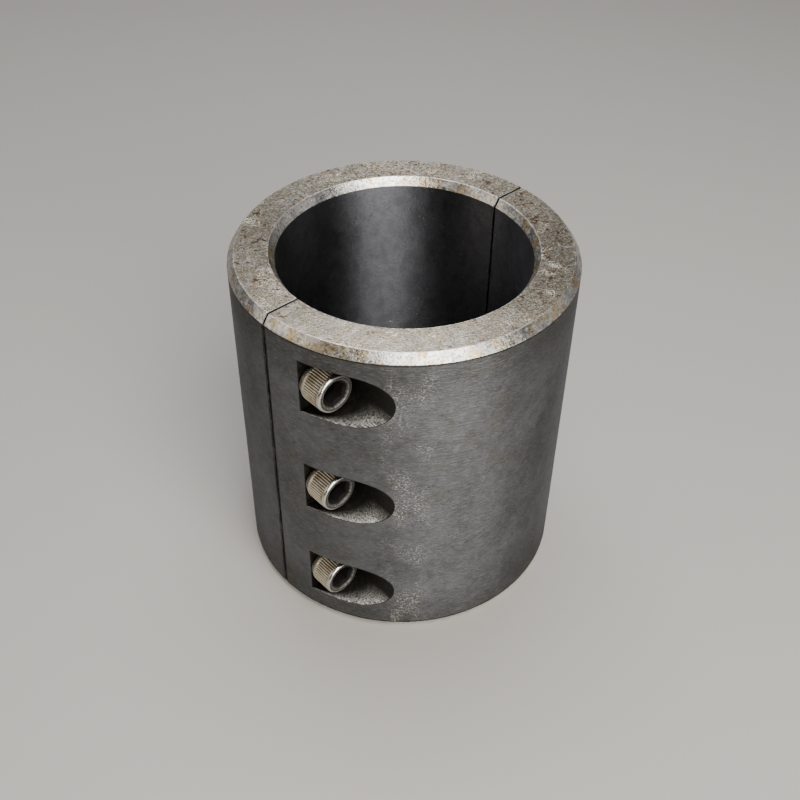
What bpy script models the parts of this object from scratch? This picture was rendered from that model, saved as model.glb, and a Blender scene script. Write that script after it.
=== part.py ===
"""Two-piece clamping sleeve coupling: two half shells drawn together by six socket head cap screws.

The frame is in metres, +Z up along the bore, with the origin at the centre of the bottom end. The
split is the XZ plane. The front half is on the -Y side. The rear half and its screws are the front
half and its screws turned half a turn about the bore, so each half holds three screw heads on one
side and three tapped holes on the other.
"""

import math

import bmesh
import bpy
from mathutils import Matrix

INCH = 0.0254

# Sleeve
OUTER_RADIUS = 4.0 * INCH / 2
BORE_RADIUS = 2.9375 * INCH / 2
LENGTH = 4.375 * INCH
OUTER_CHAMFER = (0.0019, 0.0026)  # radial, axial
INNER_CHAMFER = (0.0016, 0.0025)
SPLIT_GAP = 0.0005
SPLIT_EDGE_BEVEL = 0.00025
SLEEVE_STEPS = 120  # sides of the sleeve's full circle

# Screws: 5/16-18 socket head cap screws, 7/8 inch long
SCREW_X = 0.0440  # from the bore axis to each screw's axis
SCREW_SPACING = 0.0379  # along the bore
SCREW_RAISE = 0.0005  # the middle screw is this far above the middle of the sleeve
SCREW_ROWS = {"bottom": -1, "middle": 0, "top": 1}
THREAD_RADIUS = 0.0079 / 2
HEAD_RADIUS = 0.0119 / 2
HEAD_HEIGHT = 0.3125 * INCH
HEAD_BEVEL = 0.0005
SCREW_LENGTH = 0.875 * INCH
SCREW_TIP_BEVEL = 0.0009
SOCKET_ACROSS_FLATS = 0.25 * INCH
SOCKET_DEPTH = 0.0046
SOCKET_MOUTH_BEVEL = 0.0003
ROUND_STEPS = 36
# How far each hexagon is turned about its screw's axis, in degrees
SOCKET_TURNS = {"bottom": 8.0, "middle": 24.0, "top": 14.0}

# Spring lock washers, pressed flat
WASHER_INNER_RADIUS = 0.0083 / 2
WASHER_OUTER_RADIUS = 0.0106 / 2
WASHER_THICKNESS = 0.0010
WASHER_SLIT = 0.0005
WASHER_GAP = 0.00015  # free space on each face
WASHER_TURN = 200.0  # where the slit is, in degrees about the screw's axis

# Holes
SEAT_FROM_SPLIT = 0.0122
POCKET_X = 0.0447  # from the bore axis to the middle of each pocket's round inner end
POCKET_RADIUS = 0.0088  # of that end; flat walls run on outwards from it
POCKET_STEPS = 24
CLEARANCE_HOLE_RADIUS = 0.0085 / 2
TAPPED_HOLE_RADIUS = 0.0082 / 2
TAPPED_HOLE_DEPTH = 0.0105
DRILL_POINT = 0.0012

UNDER_HEAD_FROM_SPLIT = SEAT_FROM_SPLIT + WASHER_THICKNESS + 2 * WASHER_GAP
PAST = 0.002  # how far a cutter runs past what it cuts


def clear_scene():
    """Remove every object, so that the script starts from an empty scene."""
    for item in list(bpy.data.objects):
        bpy.data.objects.remove(item, do_unlink=True)


def metal(name, colour, roughness):
    """A plain metal with the given linear colour."""
    material = bpy.data.materials.new(name)
    material.use_nodes = True
    shader = material.node_tree.nodes["Principled BSDF"]
    shader.inputs["Base Color"].default_value = (*colour, 1.0)
    shader.inputs["Roughness"].default_value = roughness
    shader.inputs["Metallic"].default_value = 1.0
    return material


def turned(points, steps):
    """A closed solid made by spinning an outline of (radius, height) points about Z."""
    bm = bmesh.new()
    verts = [bm.verts.new((radius, 0.0, height)) for radius, height in points]
    ends = zip(verts, verts[1:] + verts[:1])
    edges = [bm.edges.new(pair) for pair in ends if pair[0].co.x or pair[1].co.x]
    bmesh.ops.spin(
        bm, geom=verts + edges, cent=(0, 0, 0), axis=(0, 0, 1), angle=math.tau, steps=steps, use_merge=True
    )
    bmesh.ops.remove_doubles(bm, verts=bm.verts, dist=1e-7)
    bmesh.ops.recalc_face_normals(bm, faces=bm.faces)
    return bm


def to_mesh(name, bm):
    """Keep a bmesh as a mesh, smooth, with sharp edges where it turns by more than 30 degrees."""
    mesh = bpy.data.meshes.new(name)
    bm.to_mesh(mesh)
    bm.free()
    mesh.shade_smooth()
    mesh.set_sharp_from_angle(angle=math.radians(30))
    return mesh


def new_object(name, mesh, parent, material=None):
    """Put a mesh in the scene under its parent. One without a material is a cutter."""
    item = bpy.data.objects.new(name, mesh)
    bpy.context.collection.objects.link(item)
    item.parent = parent
    if material is None:
        item.hide_render = True
        item.display_type = "WIRE"
    elif not mesh.materials:
        mesh.materials.append(material)
    return item


def cut(item, cutter):
    """Take the cutter away from the object, as a modifier that stays on it."""
    modifier = item.modifiers.new(cutter.name, "BOOLEAN")
    modifier.operation = "DIFFERENCE"
    modifier.object = cutter


def add_to(bm, piece, matrix):
    """Move a second mesh by the matrix and add it to the first."""
    bmesh.ops.transform(piece, matrix=matrix, verts=piece.verts)
    mesh = bpy.data.meshes.new("piece")
    piece.to_mesh(mesh)
    piece.free()
    bm.from_mesh(mesh)
    bpy.data.meshes.remove(mesh)


def row_height(row):
    """The height of a row of screws above the bottom end."""
    return LENGTH / 2 + SCREW_RAISE + SCREW_ROWS[row] * SCREW_SPACING


def half_shell():
    """Half of a chamfered tube, on the -Y side of the split, with its split edges bevelled."""
    outer_r, outer_z = OUTER_CHAMFER
    inner_r, inner_z = INNER_CHAMFER
    outline = [
        (BORE_RADIUS, inner_z),
        (BORE_RADIUS + inner_r, 0.0),
        (OUTER_RADIUS - outer_r, 0.0),
        (OUTER_RADIUS, outer_z),
        (OUTER_RADIUS, LENGTH - outer_z),
        (OUTER_RADIUS - outer_r, LENGTH),
        (BORE_RADIUS + inner_r, LENGTH),
        (BORE_RADIUS, LENGTH - inner_z),
    ]
    bm = turned(outline, SLEEVE_STEPS)
    everything = bm.verts[:] + bm.edges[:] + bm.faces[:]
    sawn = bmesh.ops.bisect_plane(
        bm, geom=everything, plane_co=(0, -SPLIT_GAP / 2, 0), plane_no=(0, 1, 0), clear_outer=True
    )
    rims = [edge for edge in sawn["geom_cut"] if isinstance(edge, bmesh.types.BMEdge)]
    bmesh.ops.edgeloop_fill(bm, edges=rims)
    bmesh.ops.bevel(bm, geom=rims, offset=SPLIT_EDGE_BEVEL, segments=1, affect="EDGES")
    bmesh.ops.recalc_face_normals(bm, faces=bm.faces)
    return bm


def pocket():
    """A milled pocket: axis Z, flat floor at height 0, open upwards, round towards +X and open towards -X."""
    bm = bmesh.new()
    angles = [math.pi * (k / POCKET_STEPS - 0.5) for k in range(POCKET_STEPS + 1)]
    outline = [(POCKET_RADIUS * math.cos(angle), POCKET_RADIUS * math.sin(angle)) for angle in angles]
    outline += [(-OUTER_RADIUS / 2, POCKET_RADIUS), (-OUTER_RADIUS / 2, -POCKET_RADIUS)]
    floor = bm.faces.new([bm.verts.new((x, y, 0.0)) for x, y in outline])
    raised = bmesh.ops.extrude_face_region(bm, geom=[floor])["geom"]
    top = [vert for vert in raised if isinstance(vert, bmesh.types.BMVert)]
    bmesh.ops.translate(bm, verts=top, vec=(0, 0, OUTER_RADIUS))
    bmesh.ops.recalc_face_normals(bm, faces=bm.faces)
    return bm


def clearance_hole():
    """The plain hole that a screw passes through: axis Z, from past the split to past the seat at height 0."""
    return turned(
        [
            (0.0, -SEAT_FROM_SPLIT - PAST),
            (CLEARANCE_HOLE_RADIUS, -SEAT_FROM_SPLIT - PAST),
            (CLEARANCE_HOLE_RADIUS, PAST),
            (0.0, PAST),
        ],
        ROUND_STEPS,
    )


def tapped_hole():
    """The blind hole that a screw's thread turns in: axis Z, mouth just above height 0."""
    return turned(
        [
            (0.0, -TAPPED_HOLE_DEPTH - DRILL_POINT),
            (TAPPED_HOLE_RADIUS, -TAPPED_HOLE_DEPTH),
            (TAPPED_HOLE_RADIUS, PAST),
            (0.0, PAST),
        ],
        ROUND_STEPS,
    )


def pocket_cutter():
    """The three pockets of one half, at -X."""
    bm = bmesh.new()
    for row in SCREW_ROWS:
        seat = Matrix.Translation((-POCKET_X, -SEAT_FROM_SPLIT, row_height(row)))
        add_to(bm, pocket(), seat @ Matrix.Rotation(math.pi / 2, 4, "X"))
    return bm


def hole_cutter():
    """The six drilled holes of one half: three for screws at -X and three tapped ones at +X."""
    bm = bmesh.new()
    for row in SCREW_ROWS:
        seat = Matrix.Translation((-SCREW_X, -SEAT_FROM_SPLIT, row_height(row)))
        mouth = Matrix.Translation((SCREW_X, 0.0, row_height(row)))
        add_to(bm, clearance_hole(), seat @ Matrix.Rotation(math.pi / 2, 4, "X"))
        add_to(bm, tapped_hole(), mouth @ Matrix.Rotation(-math.pi / 2, 4, "X"))
    return bm


def socket_cutter():
    """The hexagon socket with a bevelled mouth and a coned floor: axis Z, head's face at height 0."""
    corner = SOCKET_ACROSS_FLATS / math.sqrt(3)
    rings = [
        (corner + 2 * SOCKET_MOUTH_BEVEL, SOCKET_MOUTH_BEVEL),
        (corner, -SOCKET_MOUTH_BEVEL),
        (corner, -SOCKET_DEPTH),
    ]
    bm = bmesh.new()
    levels = []
    for radius, height in rings:
        angles = [math.tau * k / 6 for k in range(6)]
        points = [(radius * math.cos(angle), radius * math.sin(angle), height) for angle in angles]
        levels.append([bm.verts.new(point) for point in points])
    floor = bm.verts.new((0, 0, -SOCKET_DEPTH - corner / 3))
    bm.faces.new(levels[0])
    for upper, lower in zip(levels, levels[1:]):
        for k in range(6):
            bm.faces.new((upper[k], upper[k - 1], lower[k - 1], lower[k]))
    for k in range(6):
        bm.faces.new((levels[-1][k], levels[-1][k - 1], floor))
    bmesh.ops.recalc_face_normals(bm, faces=bm.faces)
    return bm


def screw():
    """A socket head cap screw without its socket: axis Z, underside of the head at height 0."""
    return turned(
        [
            (0.0, -SCREW_LENGTH),
            (THREAD_RADIUS - SCREW_TIP_BEVEL, -SCREW_LENGTH),
            (THREAD_RADIUS, -SCREW_LENGTH + SCREW_TIP_BEVEL),
            (THREAD_RADIUS, 0.0),
            (HEAD_RADIUS - HEAD_BEVEL / 2, 0.0),
            (HEAD_RADIUS, HEAD_BEVEL / 2),
            (HEAD_RADIUS, HEAD_HEIGHT - HEAD_BEVEL),
            (HEAD_RADIUS - HEAD_BEVEL, HEAD_HEIGHT),
            (0.0, HEAD_HEIGHT),
        ],
        ROUND_STEPS,
    )


def lock_washer():
    """A flat ring with a slanted slit through one side: axis Z, lower face at height 0."""
    bm = bmesh.new()
    slit = WASHER_SLIT / WASHER_OUTER_RADIUS
    slant = WASHER_THICKNESS / WASHER_OUTER_RADIUS
    levels = []
    for height, shift in ((0.0, 0.0), (WASHER_THICKNESS, slant)):
        for radius in (WASHER_INNER_RADIUS, WASHER_OUTER_RADIUS):
            angles = [shift + slit / 2 + (math.tau - slit) * k / ROUND_STEPS for k in range(ROUND_STEPS + 1)]
            points = [(radius * math.cos(angle), radius * math.sin(angle), height) for angle in angles]
            levels.append([bm.verts.new(point) for point in points])
    low_inner, low_outer, high_inner, high_outer = levels
    section = [low_inner, low_outer, high_outer, high_inner]
    for near, far in zip(section, section[1:] + section[:1]):
        for k in range(ROUND_STEPS):
            bm.faces.new((near[k], near[k + 1], far[k + 1], far[k]))
    for end in (0, ROUND_STEPS):
        bm.faces.new([corner[end] for corner in section])
    bmesh.ops.recalc_face_normals(bm, faces=bm.faces)
    return bm


def side_empty(name, angle):
    """An empty on the bore's axis that carries one half and everything seated in it."""
    item = bpy.data.objects.new(name, None)
    bpy.context.collection.objects.link(item)
    item.rotation_euler = (0, 0, angle)
    return item


def put(item, from_split, row, turn=0.0):
    """Place a round piece on its screw's axis, with its own +Z facing away from the split."""
    item.location = (-SCREW_X, -from_split, row_height(row))
    facing = Matrix.Rotation(math.pi / 2, 3, "X") @ Matrix.Rotation(math.radians(turn), 3, "Z")
    item.rotation_euler = facing.to_euler()


def main():
    clear_scene()
    steel = metal("turned_steel", (0.10, 0.10, 0.10), 0.38)
    plated = metal("screw_steel", (0.36, 0.33, 0.29), 0.35)
    spring = metal("washer_steel", (0.30, 0.28, 0.25), 0.42)

    shell_mesh = to_mesh("half_shell", half_shell())
    pockets_mesh = to_mesh("pockets", pocket_cutter())
    holes_mesh = to_mesh("holes", hole_cutter())
    screw_mesh = to_mesh("screw", screw())
    socket_mesh = to_mesh("socket", socket_cutter())
    washer_mesh = to_mesh("lock_washer", lock_washer())

    for side, angle in (("front", 0.0), ("rear", math.pi)):
        carrier = side_empty(f"{side}_side", angle)
        half = new_object(f"{side}_half", shell_mesh, carrier, steel)
        cut(half, new_object(f"{side}_pockets", pockets_mesh, carrier))
        cut(half, new_object(f"{side}_holes", holes_mesh, carrier))
        for row in SCREW_ROWS:
            turn = SOCKET_TURNS[row]
            put(new_object(f"{side}_lock_washer_{row}", washer_mesh, carrier, spring),
                SEAT_FROM_SPLIT + WASHER_GAP, row, WASHER_TURN)
            cap_screw = new_object(f"{side}_screw_{row}", screw_mesh, carrier, plated)
            put(cap_screw, UNDER_HEAD_FROM_SPLIT, row, turn)
            socket = new_object(f"{side}_socket_{row}", socket_mesh, carrier)
            put(socket, UNDER_HEAD_FROM_SPLIT + HEAD_HEIGHT, row, turn)
            cut(cap_screw, socket)


if __name__ == "__main__":
    main()
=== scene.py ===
"""A two-piece clamping sleeve coupling of turned steel, with six knurled socket head cap screws.

Every new piece is a surface worked out on grids of points, in metres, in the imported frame: +Z up along
the bore, the split in the XZ plane, the front half at -Y. The rear half and its screws are the front
ones turned half a turn about Z.
"""

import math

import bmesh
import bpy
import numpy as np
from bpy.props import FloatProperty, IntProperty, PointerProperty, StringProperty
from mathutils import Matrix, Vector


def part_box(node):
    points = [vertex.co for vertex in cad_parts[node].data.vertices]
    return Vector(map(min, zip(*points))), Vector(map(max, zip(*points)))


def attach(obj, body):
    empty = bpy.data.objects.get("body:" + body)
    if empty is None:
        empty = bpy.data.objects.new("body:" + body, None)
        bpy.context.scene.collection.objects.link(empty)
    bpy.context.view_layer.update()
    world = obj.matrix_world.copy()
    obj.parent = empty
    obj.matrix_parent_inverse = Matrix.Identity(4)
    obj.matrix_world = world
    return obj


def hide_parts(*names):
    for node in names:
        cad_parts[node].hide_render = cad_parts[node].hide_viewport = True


bl_info = {
    "name": "Clamping sleeve coupling",
    "version": (1, 0, 0),
    "blender": (4, 5, 0),
    "location": "3D View > Sidebar > Coupling",
    "description": "Builds the half shells, cap screws and lock washers of a clamping sleeve coupling",
    "category": "Add Mesh",
}

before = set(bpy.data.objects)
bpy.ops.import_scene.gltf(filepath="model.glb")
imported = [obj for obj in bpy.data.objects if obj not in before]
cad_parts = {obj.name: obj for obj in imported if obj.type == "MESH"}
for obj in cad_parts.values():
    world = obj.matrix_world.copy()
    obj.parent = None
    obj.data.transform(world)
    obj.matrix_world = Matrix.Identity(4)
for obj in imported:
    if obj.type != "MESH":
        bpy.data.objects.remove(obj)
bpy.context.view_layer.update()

MM = 0.001
INCH = 0.0254
SIDES = {"front": 1.0, "rear": -1.0}  # what X and Y are multiplied by to turn a front piece to its side
ROWS = ("bottom", "middle", "top")


# ---------------------------------------------------------------- sizes read from the frame


def row_height(row):
    """The height of a row of screws: the middle of the front screw's box."""
    low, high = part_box(f"front_screw_{row}")
    return (low.z + high.z) / 2


def screw_offset():
    """How far the screws' axes are from the bore's, along X."""
    low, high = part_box("front_screw_middle")
    return -(low.x + high.x) / 2


def half_size(node, axis):
    """The larger distance of a node's box from the origin along an axis."""
    low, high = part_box(node)
    return max(abs(low[axis]), abs(high[axis]))


OUTER_RADIUS = half_size("front_half", 0)
SLEEVE_LENGTH = half_size("front_half", 2)
SPLIT_GAP = -2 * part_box("front_half")[1].y
SCREW_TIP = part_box("front_screw_middle")[1].y
HEAD_FACE = -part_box("front_screw_middle")[0].y
HEAD_RADIUS = (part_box("front_screw_middle")[1].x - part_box("front_screw_middle")[0].x) / 2
WASHER_LOW = -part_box("front_lock_washer_middle")[1].y
WASHER_HIGH = -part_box("front_lock_washer_middle")[0].y


def length(name, default, note):
    """A length property in metres."""
    return FloatProperty(
        name=name, description=note, default=default, min=0.0,
        unit="LENGTH", subtype="DISTANCE", precision=5,
    )


def hexadecimal(name, default, note):
    """An sRGB colour property, written as six hexadecimal digits."""
    return StringProperty(name=name, description=note, default=default)


class SleeveSizes(bpy.types.PropertyGroup):
    """Sizes of the two half shells."""

    bore_radius: length("Bore radius", 2.9375 * INCH / 2, "Half the shaft's diameter")
    outer_chamfer_radial: length("Outer chamfer, radial", 1.9 * MM, "Its width across the end")
    outer_chamfer_axial: length("Outer chamfer, axial", 2.6 * MM, "Its depth along the bore")
    inner_chamfer_radial: length("Inner chamfer, radial", 1.6 * MM, "Its width across the end")
    inner_chamfer_axial: length("Inner chamfer, axial", 2.5 * MM, "Its depth along the bore")
    edge_break: length("Edge break", 0.14 * MM, "How far the turned edges are rounded")
    split_break: length("Split edge break", 0.22 * MM, "How far the edges along the split are filed")
    seat_depth: length("Seat depth", 12.2 * MM, "From the split to the flat floor of each pocket")
    pocket_offset: length("Pocket offset", 44.7 * MM, "From the bore's axis to the pockets' round inner ends")
    pocket_radius: length("Pocket radius", 8.8 * MM, "Radius of the cutter that mills the pockets")
    clearance_radius: length("Clearance hole radius", 4.25 * MM, "Hole that a screw passes through")
    tapped_radius: length("Tapped hole radius", 4.05 * MM, "Crest radius of the tapped holes")
    tapped_depth: length("Tapped hole depth", 10.5 * MM, "Full depth of the tapped holes")


class ScrewSizes(bpy.types.PropertyGroup):
    """Sizes of the socket head cap screws."""

    head_height: length("Head height", 0.3125 * INCH, "From the underside to the face")
    socket_across_flats: length("Socket width", 0.25 * INCH, "Across the flats of the hexagon")
    socket_depth: length("Socket depth", 4.6 * MM, "From the face to the socket's floor")
    mouth_radius: length("Socket mouth radius", 4.55 * MM, "Radius of the bevel at the socket's mouth")
    knurl_ridges: IntProperty(
        name="Knurl ridges", description="Straight ridges round the head", default=46, min=12, max=120
    )
    knurl_depth: length("Knurl depth", 0.34 * MM, "From the crests to the grooves")
    thread_radius: length("Thread radius", 3.92 * MM, "Radius at the thread's crests")
    thread_depth: length("Thread depth", 0.78 * MM, "From crest to root")
    thread_pitch: length("Thread pitch", INCH / 18, "How far one turn moves the screw")


class WasherSizes(bpy.types.PropertyGroup):
    """Sizes of the spring lock washers."""

    inner_radius: length("Inner radius", 4.15 * MM, "Radius of the hole")
    outer_radius: length("Outer radius", 5.3 * MM, "Radius of the rim")
    slit: length("Slit", 0.5 * MM, "Width of the slanted slit")
    edge_break: length("Edge break", 0.15 * MM, "How far the edges are rounded")


class FinishColours(bpy.types.PropertyGroup):
    """Colours of the finishes, in sRGB."""

    turned: hexadecimal("Turned steel", "#6e6f71", "Bare turned wall")
    turned_oiled: hexadecimal("Oiled steel", "#515150", "Dried oil on the turned wall")
    turned_bright: hexadecimal("Turned streaks", "#a2a3a5", "Short bright streaks on the turned wall")
    faced: hexadecimal("Faced end", "#aea696", "Ends, cut across the bar")
    # bright worn steel on the ends; as the turned wall's glints and along the ends' edges it is a painted
    # highlight
    bright_wear_and_highlight: hexadecimal("Rubbed end", "#e6e3dc", "Where the ends are rubbed bright")
    tarnish: hexadecimal("Tarnish", "#918871", "Thin brown film on the ends")
    tarnish_dark: hexadecimal("Dark tarnish", "#5e5648", "Pits and nicks")
    chamfer: hexadecimal("Chamfer", "#dedad2", "Bright cut chamfers")
    bored: hexadecimal("Bore", "#5c5c60", "Bored wall")
    bored_oiled: hexadecimal("Oiled bore", "#4e4e52", "Drying oil on the bored wall")
    milled: hexadecimal("Milled steel", "#34332f", "Walls and floors of the pockets")
    # painted highlight on the pockets' walls that face upwards, near the mouth, over a bright speckle
    milled_highlight: hexadecimal("Bright milled steel", "#fbfaf5", "Where the cutter left the pockets bright")
    straw: hexadecimal("Straw stain", "#c6a769", "Yellow stain on the chamfers and ends")
    turned_stained: hexadecimal("Stained wall", "#605b51", "Brown stain on the turned wall")
    rust: hexadecimal("Rust", "#6a4a30", "Freckles of rust")
    grime: hexadecimal("Grime", "#1c1a17", "Dirt in the pockets and holes")
    screw: hexadecimal("Screw", "#cdc3af", "Worn ridges of the knurl")
    screw_stained: hexadecimal("Stained screw", "#94866e", "Brown stains on the screws")
    screw_dirt: hexadecimal("Screw grooves", "#241f18", "Dirt in the knurl")
    # nearly black in the sockets: old grease and painted shade
    grease_and_shade: hexadecimal("Grease", "#0b0a09", "Old grease in the sockets")
    oil_sheen: hexadecimal("Oil sheen", "#c0c0c0", "Tint of the turned wall's shine at a low angle")
    head: hexadecimal("Screw rim", "#cfccc5", "Rubbed rims of the heads")
    # the heads' faces: dull grey, darkened as the painted shadow of the pocket's edge
    head_face_and_shadow: hexadecimal("Screw face", "#4e4c48", "Dull faces of the heads")
    washer: hexadecimal("Washer", "#6f675a", "Spring steel of the washers")


# ---------------------------------------------------------------- surfaces

MERGED = 0.002 * MM  # points nearer than this become one
SHARP = math.radians(40)  # edges that turn by more than this are shaded sharp


def bent(start, corner, end, count):
    """Rows of points round a corner: a quadratic curve from start towards the corner and on to end."""
    share = np.linspace(0.0, 1.0, count).reshape((count,) + (1,) * np.ndim(corner))
    return (1 - share) ** 2 * start + 2 * share * (1 - share) * corner + share**2 * end


def between(start, end, count, power=1.0):
    """Rows of points on straight lines from start to end; a power over 1 crowds them towards start."""
    share = (np.linspace(0.0, 1.0, count) ** power).reshape((count,) + (1,) * np.ndim(start))
    return start + (end - start) * share


def quads(rows, columns, closed):
    """The faces of a grid: each joins four neighbours, and a closed grid's last column meets its first."""
    index = np.arange(rows * columns).reshape(rows, columns)
    if closed:
        index = np.concatenate([index, index[:, :1]], axis=1)
    corners = [index[:-1, :-1], index[:-1, 1:], index[1:, 1:], index[1:, :-1]]
    return np.stack(corners, axis=-1).reshape(-1, 4)


def sewn(name, patches, materials):
    """One mesh from patches of (points as rows x columns x 3, material number, closed or not, dirt and
    shade).

    Dirt and painted shade are kept as one attribute of the points, from 0 where a finish is clean to 1 where
    it is darkest: grime, and in the sockets and on the heads' faces painted shade; its low values also place
    the pockets' painted highlight. Points of neighbouring patches that meet become one, faces with no area
    go, and every face is turned outwards.
    """
    points, faces, finish, grime, first = [], [], [], [], 0
    for patch, slot, closed, dirt_and_shade in patches:
        rows, columns = patch.shape[:2]
        made = quads(rows, columns, closed) + first
        points.append(patch.reshape(-1, 3))
        grime.append(np.broadcast_to(dirt_and_shade, (rows, columns)).reshape(-1))
        faces.append(made)
        finish.append(np.full(len(made), slot))
        first += rows * columns
    mesh = bpy.data.meshes.new(name)
    mesh.from_pydata(np.concatenate(points), [], np.concatenate(faces))
    mesh.polygons.foreach_set("material_index", np.concatenate(finish).astype(np.int32))
    dirt_and_shade_mask = mesh.attributes.new("dirt_and_shade", "FLOAT", "POINT")
    dirt_and_shade_mask.data.foreach_set("value", np.concatenate(grime).astype(np.float32))
    for material in materials:
        mesh.materials.append(material)
    bm = bmesh.new()
    bm.from_mesh(mesh)
    bmesh.ops.remove_doubles(bm, verts=bm.verts, dist=MERGED)
    bmesh.ops.dissolve_degenerate(bm, edges=bm.edges, dist=MERGED / 2)
    bmesh.ops.recalc_face_normals(bm, faces=bm.faces)
    bm.to_mesh(mesh)
    bm.free()
    mesh.shade_smooth()
    mesh.set_sharp_from_angle(angle=SHARP)
    return mesh


def piece(name, mesh, body, nodes):
    """Put a finished mesh in the scene, on its body and in the place of its nodes.

    Normals are weighted by area, so that a narrow rounded edge doesn't shade the flat beside it.
    """
    made = bpy.data.objects.new(name, mesh)
    bpy.context.scene.collection.objects.link(made)
    weighted = made.modifiers.new("even_shading", "WEIGHTED_NORMAL")
    weighted.keep_sharp = True
    weighted.weight = 100
    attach(made, body)
    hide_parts(*nodes)
    return made


def turned_to(points, side):
    """Front points turned to their side of the coupling."""
    return points * np.array([SIDES[side], SIDES[side], 1.0])


# ---------------------------------------------------------------- half shells

TILE_ROWS = 42  # steps up each third of the wall
TILE_COLUMNS = 36  # steps across the strip of wall that holds the pockets
RING_ROWS = 9  # steps from a pocket's rim to the edge of its tile
POCKET_START, POCKET_END = math.radians(8.0), math.radians(52.0)  # the strip, from -X towards -Y
SPLIT_COLUMNS, PLAIN_COLUMNS = 5, 90  # steps beside the split and round the rest of the wall
ROUND = 4  # rows round a broken edge
POCKET_MIDDLE = math.radians(29.0)  # an angle inside the pockets, from -X towards -Y
WALL_ROWS, SEAT_ROWS = 9, 9  # rows down a pocket's wall and across its seat
HOLE_ROWS, FLAT_ROWS = 12, 10  # rows down a hole and across the face of the split round it
HALVINGS = 40  # how often the search for a pocket's rim halves its step
RIM_BREAK = 0.16 * MM  # how far the rims of the pockets and holes are rounded
TAP_DEPTH = 0.35 * MM  # depth of the tapped grooves
DRILL_POINT = 1.2 * MM  # height of the cone at a tapped hole's end
THREAD_STEPS = 8  # rows for one pitch of a thread
TURNED, FACED, OUTER_CHAMFER, INNER_CHAMFER, BORED, MILLED, SAWN, THREADED = range(8)


def end_profile(sizes):
    """The section of one end, from the outer wall to the bore: three runs of (radius, height) points.

    Each run is straight lines with a quadratic curve round each corner. All together they have as many
    steps as a tile is wide.
    """
    edge = sizes.edge_break
    wall = np.array([OUTER_RADIUS, sizes.outer_chamfer_axial])
    rim = np.array([OUTER_RADIUS - sizes.outer_chamfer_radial, 0.0])
    lip = np.array([sizes.bore_radius + sizes.inner_chamfer_radial, 0.0])
    bore = np.array([sizes.bore_radius, sizes.inner_chamfer_axial])
    up, across = np.array([0.0, 1.0]), np.array([1.0, 0.0])
    outer = (rim - wall) / np.linalg.norm(rim - wall)
    inner = (bore - lip) / np.linalg.norm(bore - lip)
    outer_run = np.concatenate([
        bent(wall + up * edge, wall, wall + outer * edge, ROUND),
        between(wall + outer * edge, rim - outer * edge, 3)[1:],
        bent(rim - outer * edge, rim, rim - across * edge, ROUND)[1:],
    ])
    inner_run = np.concatenate([
        bent(lip + across * edge, lip, lip + inner * edge, ROUND),
        between(lip + inner * edge, bore - inner * edge, 3)[1:],
        bent(bore - inner * edge, bore, bore + up * edge, ROUND)[1:],
    ])
    steps = TILE_COLUMNS - (len(outer_run) - 1) - (len(inner_run) - 1)
    return outer_run, between(outer_run[-1], inner_run[0], steps + 1), inner_run


def heights(low, high):
    """The heights of the wall's rows: three tiles that meet halfway between the screws, evenly stepped."""
    low_screw, middle_screw, top_screw = (row_height(row) for row in ROWS)
    joints = [low, (low_screw + middle_screw) / 2, (middle_screw + top_screw) / 2, high]
    tiles = [np.linspace(a, b, TILE_ROWS + 1)[:-1] for a, b in zip(joints, joints[1:])]
    return np.append(np.concatenate(tiles), high)


def section(sizes):
    """The closed section of the shell as runs of (radius, height, material): both ends, wall and bore."""
    ends = end_profile(sizes)
    finishes = (OUTER_CHAMFER, FACED, INNER_CHAMFER)
    flip = np.array([1.0, -1.0])
    lift = np.array([0.0, SLEEVE_LENGTH])
    edge_outer, edge_inner = ends[0][0], ends[2][-1]
    wall = heights(edge_outer[1], SLEEVE_LENGTH - edge_outer[1])
    bore = heights(edge_inner[1], SLEEVE_LENGTH - edge_inner[1])
    return {
        "bottom": list(zip(ends, finishes)),
        "top": [(run * flip + lift, finish) for run, finish in zip(ends, finishes)],
        "wall": np.stack([np.full_like(wall, OUTER_RADIUS), wall], axis=-1),
        "bore": np.stack([np.full_like(bore, sizes.bore_radius), bore], axis=-1),
    }


def around(radius, angle, height):
    """Points at a radius, at an angle from -X towards -Y, and at a height."""
    return np.stack(np.broadcast_arrays(-radius * np.cos(angle), -radius * np.sin(angle), height), axis=-1)


def sweep_angles(radius, share, sizes):
    """The angle at a share of the way from one split edge to the other, at a radius."""
    start = np.arcsin((SPLIT_GAP / 2 + sizes.split_break) / radius)
    return start + (math.pi - 2 * start) * share


def swept(run, share, sizes):
    """A run of the section carried round the bore: rows are its points and columns are shares of the way."""
    radius, height = run[:, :1], run[:, 1:]
    return around(radius, sweep_angles(radius, share[None, :], sizes), height)


def column_shares(sizes):
    """Shares of the way round for the strip by the split, the strip of the pockets and the plain wall."""
    start = math.asin((SPLIT_GAP / 2 + sizes.split_break) / OUTER_RADIUS)
    first, last = [(angle - start) / (math.pi - 2 * start) for angle in (POCKET_START, POCKET_END)]
    return (
        np.linspace(0.0, first, SPLIT_COLUMNS + 1),
        np.linspace(first, last, TILE_COLUMNS + 1),
        np.linspace(last, 1.0, PLAIN_COLUMNS + 1),
    )


def loop(left, top, right, bottom):
    """Four runs of points, each given upwards or inwards, as one closed ring from the left run's foot."""
    return np.concatenate([left[:-1], top[:-1], right[::-1][:-1], bottom[::-1][:-1]])


def ring_angles(points, centre):
    """The angle of each point of a ring about a centre in the XZ plane, growing all the way round."""
    return np.unwrap(np.arctan2(points[:, 2] - centre[1], -(points[:, 0] - centre[0])))


def circle(angle, centre, radius, y):
    """Points on a circle about the screw's axis at these angles."""
    x = centre[0] - radius * np.cos(angle)
    z = centre[1] + radius * np.sin(angle)
    return np.stack([x, np.full_like(x, y), z], axis=-1)


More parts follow.
